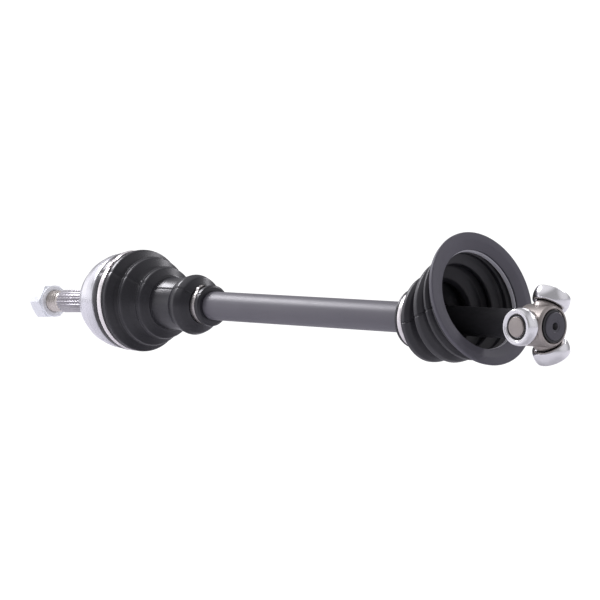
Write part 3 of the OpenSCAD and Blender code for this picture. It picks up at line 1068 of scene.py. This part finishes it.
@dataclass
class OuterBoot(SubAssembly):
    """The outer rubber boot in two stretches that meet in a valley, and its small clamp."""

    mouth_x: float = 4.8
    split_x: float = 46.8
    end_x: float = 123.6
    bend_start: float = 58.0
    bend_end: float = 18.0
    neck_held_x: float = 76.0
    seam_angle: float = 36.0
    band_r: float = 16.95
    band_span: Point = (110.9, 116.8)
    outer: tuple[Corner, ...] = (
        (4.8, 43.8, 0), (4.8, 46.3, 0.7), (10.3, 46.3, 0.5), (10.4, 45.5, 0.2), (18.7, 45.5, 0.2),
        (18.9, 46.9, 0.3), (19.9, 47.0, 0.3), (20.3, 46.5, 0.2), (21.6, 47.5, 0.9), (25.6, 47.3, 2.6),
        (28.6, 40.0, 1.8), (30.6, 37.4, 1.4), (33.4, 37.6, 0.8), (35.0, 41.0, 0.3), (35.9, 41.5, 0.2),
        (36.7, 41.2, 0.2), (37.2, 40.8, 0.2), (39.8, 40.5, 2.4), (43.8, 33.4, 2.0), (46.8, 30.6, 1.6),
        (50.6, 30.4, 0.8), (52.6, 33.3, 0.3), (53.5, 33.8, 0.2), (54.3, 33.5, 0.2), (54.8, 33.1, 0.2),
        (57.8, 32.7, 2.6), (60.9, 26.2, 0.8), (61.6, 25.6, 0.2), (62.0, 25.2, 0.2), (62.1, 24.1, 0.3),
        (87.5, 23.9, 3.0), (92.0, 26.2, 2.6), (98.5, 27.7, 4.5), (105.6, 25.2, 4.5), (109.2, 19.0, 1.4),
        (110.2, 18.2, 0.3), (110.3, 16.9, 0.2), (117.4, 16.9, 0.2), (117.6, 18.2, 0.5),
        (119.5, 18.7, 0.6), (122.4, 18.5, 0.8), (123.6, 16.5, 0.6), (123.6, 13.4, 0),
    )
    inner: tuple[Corner, ...] = (
        (4.8, 43.8, 0), (20.8, 43.8, 0), (21.0, 44.6, 0.4), (24.6, 44.6, 1.6), (27.4, 37.6, 1.6),
        (30.4, 35.4, 1.4), (35.0, 35.6, 0.8), (37.0, 38.2, 1.2), (38.6, 38.0, 1.2), (42.6, 31.6, 1.6),
        (46.8, 28.4, 1.6), (51.8, 28.4, 0.8), (54.0, 30.8, 1.2), (56.4, 30.6, 1.2), (59.4, 24.0, 0.8),
        (62.0, 22.0, 0.8), (87.0, 21.6, 2.0), (92.4, 24.0, 2.0), (98.5, 25.3, 3.0), (104.2, 23.2, 3.0),
        (108.0, 15.4, 1.4), (110.0, 13.4, 0.8), (123.6, 13.4, 0),
    )

    def build(self) -> None:
        """Builds the boot's two stretches and the small clamp."""
        walls = self.outer, self.inner
        folds = boot_wall("outer_boot_folds", *walls, (self.mouth_x, self.split_x), self.seam_angle)
        neck = boot_wall("outer_boot_neck", *walls, (self.split_x, self.end_x), self.seam_angle)
        for piece in (folds, neck):
            reshape(piece, self._sag)
            smooth(piece, 40)
            self.fit(piece, "boot_rubber", None, "outer_boot")
        blend_mm(folds)
        blend_mm(neck)
        band = clamp(
            "small_clamp_band", self.band_r, self.band_span, thickness=0.5, ear_angle=66, ear=(11.0, 1.6)
        )
        self.fit(band, "dull_band", "axle", "small_clamp")

    def _sag(self, spot: Vector) -> Vector:
        """Bends the boot so that its mouth sits square on the drooping bell."""
        share = ease((self.bend_start - spot.x) / (self.bend_start - self.bend_end))
        return Matrix.Rotation(-self.layout.droop * share, 3, "Y") @ spot


# ---------------------------------------------------------------- shaft and gearbox side


@dataclass
class Shaft(SubAssembly):
    """The painted shaft and its bare inboard end."""

    paint_r: float = 13.0
    seat_r: float = 12.5
    bare_r: float = 12.1
    bore_r: float = 11.5
    end_past_tripod: float = 15.6

    def build(self) -> None:
        """Builds the painted stretch, the bare one and the land on its end face, whose lighter grey is partly
        the machined end's own tone and partly painted light.
        """
        bearing = self.layout.bearing_x
        painted = turned("painted_shaft", rounded([
            (-14.5, 0, 0), (-14.5, 10.6, 0.4), (-13.5, self.bore_r, 0.3), (16, self.bore_r, 0.4),
            (19, self.paint_r, 0.6), (120, self.paint_r, 0), (250, self.paint_r, 0),
            (bearing - 1.4, self.paint_r, 0.5), (bearing - 0.1, self.seat_r, 0.1), (bearing - 0.1, 0, 0),
        ]))
        end = self.layout.tripod_x + self.end_past_tripod
        bare = turned("bare_shaft", rounded([
            (bearing - 0.1, 0, 0), (bearing - 0.1, self.seat_r, 0), (bearing + 10, self.seat_r, 0.3),
            (bearing + 11, self.bare_r, 0.3), (450, self.bare_r, 0), (end - 32, self.bare_r, 0.5),
            (end - 29.4, self.bore_r, 0.5), (end - 2.2, self.bore_r, 0.1), (end - 2.2, 10.4, 0.1),
            (end - 0.9, 10.4, 0), (end - 0.9, 3.1, 0), (end - 3.2, 1.5, 0.2), (end - 5.0, 0, 0),
        ]))
        # The land on the end face, dressed lighter: partly its machined tone, partly painted light.
        land = turned("shaft_end_land", rounded([
            (end - 0.9, 3.1, 0), (end - 0.9, self.bore_r, 0.2), (end, 10.5, 0.15), (end, 4.9, 0.15),
            (end - 0.5, 4.4, 0.2), (end - 0.5, 3.1, 0.1),
        ]))
        for piece, finish in ((painted, "charcoal_paint"), (bare, "bare_black"), (land, "end_grey_and_painted_light")):
            self.fit(piece, finish, "axle", "axle_shaft")


@dataclass
class BootBearing(SubAssembly):
    """The ball bearing that carries the inner boot's small end."""

    width: float = 10.0
    bore_r: float = 12.52
    rim_r: float = 22.98
    pitch_r: float = 17.9
    race_r: float = 2.9
    inner_land_r: float = 15.8
    outer_land_r: float = 20.0

    def build(self) -> None:
        """Builds the two rings, whose races face each other."""
        x0 = self.layout.bearing_x
        x1 = x0 + self.width
        middle = ((x0 + x1) / 2, self.pitch_r)
        inner = turned("inner_ring", rounded([
            (x0 + 0.1, self.bore_r, 0.4), (x0 + 0.1, self.inner_land_r, 0.4),
            *arc(middle, self.race_r, 215, 325, 10), (x1, self.inner_land_r, 0.4), (x1, self.bore_r, 0.4),
        ]))
        outer = turned("outer_ring", rounded([
            (x0, self.rim_r, 0.5), (x0, self.outer_land_r, 0.4),
            *arc(middle, self.race_r, 145, 35, 10), (x1, self.outer_land_r, 0.4), (x1, self.rim_r, 0.5),
        ]))
        self.fit(inner, "ground_steel", "axle", "bearing_inner_ring")
        self.fit(outer, "ground_steel", "boot_bearing", "bearing_outer_ring")


@dataclass
class InnerBoot(SubAssembly):
    """The gearbox-side boot: collar and band on the bearing, folds, ribs, flange and insert."""

    flange_r: float = 56.1
    bore_r: float = 41.8
    flange_t: float = 5.5
    seam_angle: float = -4.0
    collar_r: float = 23.1
    band_r: float = 24.75
    start_x: float = 395.5
    split_x: float = 416.2
    end_x: float = 455.3
    collar: tuple[Corner, ...] = (
        (383.6, 23.1, 0), (383.6, 25.0, 0.6), (386.2, 25.3, 0.5), (386.5, 24.5, 0.2), (392, 24.5, 0.2),
        (392.3, 25.5, 0.4), (395.5, 25.6, 0.3),
    )
    outer: tuple[Corner, ...] = (
        (395.5, 25.6, 0), (398.2, 26.4, 1.0), (401.5, 33.0, 1.4), (403.3, 36.4, 1.4), (407.6, 37.0, 2.4),
        (411.3, 34.6, 2.4), (413.4, 30.4, 1.4), (416.2, 29.6, 1.2), (418.9, 30.4, 1.4), (422, 38.6, 1.6),
        (424.2, 42.4, 1.6), (428.9, 43.0, 2.4), (432.4, 40.6, 2.0), (434.3, 37.6, 1.2), (436.5, 37.6, 1.2),
        (438.8, 44.0, 0.8), (440.2, 46.2, 0.8), (442.7, 46.6, 0.9), (444.3, 45.0, 0.6), (445.4, 43.4, 0.6),
        (447, 43.4, 0.6), (448.6, 47.2, 0.6), (450.3, 48.6, 0.7), (452.1, 48.4, 0.5), (452.7, 47.8, 0.4),
        (455.3, 47.8, 0),
    )
    inner: tuple[Corner, ...] = (
        (395.5, 22.4, 0), (398.8, 23.8, 2.0), (402.9, 32.6, 2.4), (406.9, 35.0, 2.4), (409.9, 32.6, 2.4),
        (412.3, 28.2, 2.0), (415.2, 27.0, 0.6), (416.2, 27.0, 0.6), (417.2, 27.0, 0.6), (420.3, 28.6, 2.2),
        (423.4, 38.0, 2.4), (427.9, 41.0, 2.4), (431.8, 37.8, 2.0), (433.9, 35.0, 1.4), (437.0, 35.2, 1.6),
        (439.8, 42.6, 1.4), (442.3, 44.2, 1.2), (445.0, 41.0, 1.2), (447.6, 41.0, 1.2), (450.3, 45.6, 1.2),
        (455.3, 43.2, 0),
    )

    def build(self) -> None:
        """Builds and dresses every piece of the inner boot."""
        collar = turned("inner_boot_collar", rounded((*self.collar, (self.start_x, self.collar_r, 0))))
        low_folds = self._stretch("inner_boot_small_folds", self.start_x, self.split_x)
        high_folds = self._stretch("inner_boot_big_folds", self.split_x, self.end_x)
        self.fit(collar, "inner_rubber", "boot_bearing", "inner_boot")
        self.fit(low_folds, "inner_rubber", None, "inner_boot")
        self.fit(high_folds, "inner_rubber", None, "inner_boot")
        blend_mm(low_folds)
        blend_mm(high_folds)
        x0 = self.layout.bearing_x
        band = clamp(
            "boot_band_strip", self.band_r, (x0 + 2.6, x0 + 7.0), thickness=0.45, ear_angle=-118, ear=(6, 0.9)
        )
        self.fit(band, "band_steel", "boot_bearing", "boot_band")
        for piece, finish, node in (
            (self._flange(), "flange_rubber", "boot_flange"),
            (self._insert(), "insert_steel", "flange_insert"),
        ):
            place(piece, self.layout.flange_place())
            self.fit(piece, finish, "flange", node)

    def _stretch(self, name: str, low: float, high: float) -> bpy.types.Object:
        """One stretch of the folds, laid along the boot's bent middle line.

        Args:
            name: the new piece's name.
            low: the station where it starts on the straight boot.
            high: the station where it ends.

        Returns:
            The stretch in its place at rest.
        """
        piece = boot_wall(name, self.outer, self.inner, (low, high), self.seam_angle)
        reshape(piece, self._laid)
        smooth(piece, 40)
        return piece

    def _laid(self, spot: Vector) -> Vector:
        """Where a point of the straight boot lies between the bearing and the raised flange.

        Args:
            spot: the point on the straight boot, in millimetres.

        Returns:
            Its place at rest, in millimetres.
        """
        start = self.layout.bearing_x + 10.5
        end = self.layout.flange_place() @ Vector((-self.flange_t * MM, 0, 0)) / MM
        share = max(0.0, (spot.x - start) / (end.x - start))
        turn = self.layout.flange_tilt * share
        rise = end.z * share * share * (2.4 - 1.4 * share)
        return Vector((spot.x - spot.z * math.sin(turn), spot.y, rise + spot.z * math.cos(turn)))

    def _flange(self) -> bpy.types.Object:
        """The stiff moulded flange.

        Returns:
            The flange, with a shallow cone for its face, a stepped rim and a land behind its opening.
        """
        r, bore, t = self.flange_r, self.bore_r, self.flange_t
        return turned("moulded_flange", rounded([
            (-3.4, bore + 0.1, 0.4), (-0.5, bore + 8.0, 4.0), (0, r - 0.6, 0.4), (-0.8, r, 0.4),
            (-2.1, r, 0.3), (-2.6, r - 0.6, 0.3), (-3.1, r - 0.7, 0.3), (-t + 0.8, r - 1.0, 0.5),
            (-t, r - 2.0, 0.6), (-t, 50.6, 0.8), (-t - 0.6, 49.4, 0.8), (-t - 0.6, bore + 0.9, 0.4),
            (-4.4, bore + 0.9, 0.3), (-4.3, bore + 0.1, 0.3),
        ]), FINE_STEPS)

    def _insert(self) -> bpy.types.Object:
        """The light ring behind the opening's edge.

        Returns:
            The ring, a plain short sleeve.
        """
        low_r, high_r = self.bore_r - 0.5, self.bore_r + 0.6
        return turned("opening_ring", rounded([
            (-8.9, low_r, 0.2), (-8.9, high_r, 0.2), (-5.3, high_r, 0.2), (-5.3, low_r, 0.3),
        ]), FINE_STEPS)


@dataclass
class Tripod(SubAssembly):
    """The tripod: spider, rollers, their retaining rings and the ring on the shaft's end."""

    hub_r: float = 16.7
    hub_half_w: float = 13.6
    bore_r: float = 11.52
    boss_r: float = 12.0
    trunnion_r: float = 8.1
    roller_r: float = 23.8
    roller_w: float = 11.6
    crown_r: float = 15.15
    edge_w: float = 0.55
    roller_bore: float = 10.2
    ring_past_tripod: float = 14.05
    angles: tuple[tuple[str, float], ...] = (("a", 0.0), ("b", 120.0), ("c", 240.0))

    def build(self) -> None:
        """Builds and dresses the tripod."""
        self.fit(self._spider(), "machined_steel", "axle", "tripod_spider")
        self.fit(self._end_ring(), "black_steel", "axle", "spider_circlip")
        roller, keeper = self._roller(), self._keeper()
        for key, angle in self.angles:
            spot = self.layout.trunnion_place(angle)
            barrel = copy_of(roller, f"barrel_roller_{key}", spot)
            self.fit(barrel, "roller_steel", f"roller_{key}", f"roller_{key}")
            rings = copy_of(keeper, f"needle_keeper_{key}", spot)
            self.fit(rings, "black_steel", f"needle_set_{key}", f"retainer_{key}")
        for used in (roller, keeper):
            bpy.data.objects.remove(used)

    def _spider(self) -> bpy.types.Object:
        """The machined hub with three bosses and trunnions that flare into it.

        Returns:
            The spider in its place on the shaft.
        """
        w, r = self.hub_half_w, self.hub_r
        hub = turned("spider_hub", rounded([
            (-w, 0, 0), (-w, r - 1.6, 0.3), (-w + 1.6, r + 0.2, 0.3), (w - 1.8, r + 0.2, 0.25),
            (w - 0.3, r - 1.1, 0.25), (w, r - 1.5, 0.2), (w, 0, 0),
        ]))
        outline = rounded([
            (2, 0, 0), (2, self.boss_r, 0), (r - 1.6, self.boss_r, 1.0), (r + 0.6, self.boss_r - 1.1, 0.4),
            (r + 0.7, self.trunnion_r + 0.3, 0.2), (r + 0.95, self.trunnion_r, 0.1),
            (29.0, self.trunnion_r, 0.2), (29.7, self.trunnion_r - 0.6, 0.3), (29.8, 0, 0),
        ])
        for _, angle in self.angles:
            cut(hub, place(turned("arm", outline), self.layout.trunnion_turn(angle)), "UNION")
        cut(hub, turned("hub_bore", rounded([
            (-w - 1, 0, 0), (-w - 1, self.bore_r, 0), (w - 2.4, self.bore_r, 0), (w - 1.6, 14.0, 0),
            (w + 1, 14.2, 0), (w + 1, 0, 0),
        ])))
        bevel_edges(hub, 0.3, segments=3, angle=30)
        place(hub, self.layout.tripod_place())
        smooth(hub, 38)
        return hub

    def _end_ring(self) -> bpy.types.Object:
        """The open black ring in the shaft's groove.

        Returns:
            The ring, a strip on edge with a gap between its ends.
        """
        x = self.layout.tripod_x + self.ring_past_tripod
        first, sweep, steps = 140, 338, 96
        path = [(first + sweep * i / steps, 10.6) for i in range(steps + 1)]
        return strip("shaft_end_ring", path, (x - 0.55, x + 0.55), 2.6)

    def _roller(self) -> bpy.types.Object:
        """A barrel roller on X, as far from the origin as it stands from the shaft.

        Returns:
            The roller, with a crowned rim and a chamfered bore.
        """
        low, high = self.roller_r - self.roller_w / 2, self.roller_r + self.roller_w / 2
        crown_half_w = self.roller_w / 2 - self.edge_w
        edge = math.degrees(math.asin(crown_half_w / self.crown_r))
        crown = arc((self.roller_r, 0), self.crown_r, 90 + edge, 90 - edge, 20)
        face_r = math.sqrt(self.crown_r**2 - crown_half_w**2) - 0.6
        bore = self.roller_bore
        return turned("roller", rounded([
            (low, bore + 1.3, 0.3), (low, face_r, 0.5), *crown, (high, face_r, 0.5), (high, bore + 2.0, 0.2),
            (high - 0.35, bore + 1.7, 0.2), (high - 0.35, bore + 0.9, 0.2), (high - 1.1, bore, 0.2),
            (low + 1.1, bore, 0.2), (low + 0.4, bore + 0.8, 0.2),
        ]))

    def _keeper(self) -> bpy.types.Object:
        """The dark rings at both ends of the needles, the outer one with a lip.

        Returns:
            Both rings as one piece.
        """
        low, high = self.roller_r - self.roller_w / 2, self.roller_r + self.roller_w / 2
        inner_r, outer_r = self.trunnion_r + 0.12, self.roller_bore - 0.06
        front = turned("keeper_front", rounded([
            (high - 1.9, inner_r + 0.3, 0.2), (high - 1.9, outer_r, 0.2), (high - 1.0, outer_r, 0.3),
            (high - 0.8, outer_r - 0.5, 0.2), (high - 1.2, outer_r - 0.8, 0.2),
            (high - 1.2, inner_r + 0.5, 0.2),
        ]))
        back = turned("keeper_back", rounded([
            (low + 0.25, inner_r, 0.2), (low + 0.25, outer_r, 0.2),
            (low + 1.3, outer_r, 0.2), (low + 1.3, inner_r, 0.2),
        ]))
        return join([front, back])


# ---------------------------------------------------------------- hidden CAD pieces and the studio

HIDDEN_FINISHES = {
    "ball_cage": "ground_steel", "joint_balls": "ground_steel", "inner_race": "ground_steel",
    "race_circlip": "black_steel", "bearing_balls": "ground_steel", "bearing_cage": "cage_brass",
    "bearing_seal": "seal_rubber", "needles_a": "ground_steel", "needles_b": "ground_steel",
    "needles_c": "ground_steel",
}


@dataclass(frozen=True)
class SoftBox:
    """One rectangular studio light that points at the part."""

    name: str
    spot: Place
    size: Point
    power: float


@dataclass(frozen=True)
class Glow:
    """One soft bright patch of the dome, with its half angles in degrees."""

    direction: Place
    strength: float
    inner: float
    outer: float


@dataclass
class Studio:
    """The camera, the floor, the lights and the white surroundings."""

    azimuth: float = 47.9
    elevation: float = 2.9
    lens: float = 159.0
    distance: float = 2.311
    aim: Place = (0.240, 0, 0)
    aim_above: float = 0.0096
    floor_drop: float = 0.03
    floor_tone: Colour = (0.80, 0.79, 0.83)
    tint: Colour = (0.965, 0.95, 1.0)
    dome: float = 0.33
    backdrop: float = 1.1
    boxes: tuple[SoftBox, ...] = (
        SoftBox("key_box", (-1.35, -0.35, 1.35), (1.1, 0.45), 24),
        SoftBox("back_box", (0.3, 1.3, 0.9), (1.6, 0.25), 6),
    )
    glows: tuple[Glow, ...] = (
        Glow((-0.80, -0.60, 0.02), 0.9, 5, 24),
        Glow((-1.0, -0.05, 0.10), 1.1, 6, 26),
        Glow((-0.4, -0.25, 1.0), 0.45, 15, 55),
        Glow((0.7, 0.62, 0.35), 0.35, 12, 50),
    )

    def build(self, low: Vector) -> None:
        """Sets up the whole studio round the part.

        Args:
            low: the lowest corner of the CAD box.
        """
        self._camera()
        self._floor(low.z - self.floor_drop)
        self._lights()
        self._world()
        bpy.context.scene.view_settings.view_transform = "Standard"

    @staticmethod
    def _face(thing: bpy.types.Object, direction: Vector) -> None:
        """Turns a camera or a light to face along a direction."""
        thing.rotation_mode = "QUATERNION"
        thing.rotation_quaternion = direction.to_track_quat("-Z", "Y")

    def _camera(self) -> None:
        """A long lens that looks past the tripod towards the wheel side."""
        a, e = math.radians(self.azimuth), math.radians(self.elevation)
        back = Vector((math.sin(a) * math.cos(e), -math.cos(a) * math.cos(e), math.sin(e)))
        right = Vector((math.cos(a), math.sin(a), 0))
        spot = Vector(self.aim) + back * self.distance + back.cross(right) * self.aim_above
        deselect()
        bpy.ops.object.camera_add(location=spot)
        camera = bpy.context.object
        camera.name = "camera"
        camera.data.lens = self.lens
        camera.data.sensor_width = 36
        camera.data.clip_end = 60
        self._face(camera, -back)
        bpy.context.scene.camera = camera

    def _floor(self, height: float) -> None:
        """A wide floor just under the part, white to the camera.

        Args:
            height: where it lies, in metres.
        """
        deselect()
        bpy.ops.mesh.primitive_plane_add(size=30, location=(0, 0, height))
        floor = bpy.context.object
        floor.name = "floor"
        material = bpy.data.materials.new("pale_floor")
        material.use_nodes = True
        tree = material.node_tree
        shader = tree.nodes["Principled BSDF"]
        feed(tree, shader.inputs["Base Color"], (*self.floor_tone, 1))
        feed(tree, shader.inputs["Roughness"], 0.9)
        white = add_node(tree, "Emission", {"Strength": self.backdrop})
        self._white_to_the_eye(tree, shader.outputs["BSDF"], white.outputs["Emission"])
        floor.data.materials.append(material)
        floor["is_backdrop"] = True

    def _lights(self) -> None:
        """The soft boxes: the key light at the upper left and a narrow one behind."""
        for box in self.boxes:
            deselect()
            bpy.ops.object.light_add(type="AREA", location=box.spot)
            light = bpy.context.object
            light.name = box.name
            light.data.shape = "RECTANGLE"
            light.data.size, light.data.size_y = box.size
            light.data.energy = box.power
            light.data.color = self.tint
            self._face(light, Vector(self.aim) - Vector(box.spot))

    def _world(self) -> None:
        """White to the camera, and a dim dome with soft bright patches for what the part reflects."""
        world = bpy.data.worlds.new("white_studio")
        bpy.context.scene.world = world
        world.use_nodes = True
        tree = world.node_tree
        coordinates = add_node(tree, "TexCoord")
        total = add_node(tree, "Value").outputs["Value"]
        total.default_value = self.dome
        for glow in self.glows:
            facing = add_node(tree, "VectorMath", {
                0: coordinates.outputs["Generated"], 1: Vector(glow.direction).normalized(),
            }, operation="DOT_PRODUCT")
            patch = add_node(tree, "MapRange", {
                "Value": facing.outputs["Value"], "From Min": math.cos(math.radians(glow.outer)),
                "From Max": math.cos(math.radians(glow.inner)), "To Max": glow.strength,
            }, interpolation_type="SMOOTHSTEP")
            total = add_node(tree, "Math", {0: total, 1: patch.outputs["Result"]}).outputs["Value"]
        dome = tree.nodes["Background"]
        feed(tree, dome.inputs["Color"], (*self.tint, 1))
        feed(tree, dome.inputs["Strength"], total)
        white = add_node(tree, "Background", {"Color": (1, 1, 1, 1), "Strength": self.backdrop})
        self._white_to_the_eye(tree, dome.outputs["Background"], white.outputs["Background"])

    @staticmethod
    def _white_to_the_eye(
        tree: bpy.types.NodeTree, seen_by_part: bpy.types.NodeSocket, seen_by_eye: bpy.types.NodeSocket
    ) -> None:
        """Shows one shader to the camera and another to the part.

        Args:
            tree: the floor's or the world's node tree.
            seen_by_part: the shader that lights the part.
            seen_by_eye: the shader that the camera sees.
        """
        output = next(node for node in tree.nodes if node.type.startswith("OUTPUT"))
        camera_ray = add_node(tree, "LightPath").outputs["Is Camera Ray"]
        choice = add_node(tree, "MixShader", {0: camera_ray, 1: seen_by_part, 2: seen_by_eye})
        feed(tree, output.inputs["Surface"], choice.outputs["Shader"])


def main() -> None:
    """Loads the frame, builds every sub-assembly in order and sets up the studio."""
    logging.basicConfig(level=logging.INFO, format="%(message)s")
    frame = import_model()
    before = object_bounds()
    layout = Layout.from_frame(frame)
    palette = Palette()
    for assembly in (WheelStub, OuterBoot, Shaft, BootBearing, InnerBoot, Tripod):
        assembly(layout, palette).build()
    for node, finish in HIDDEN_FINISHES.items():
        palette.dress(frame["nodes"][node], finish)
    Studio().build(before[0])


if __name__ == "__main__":
    main()
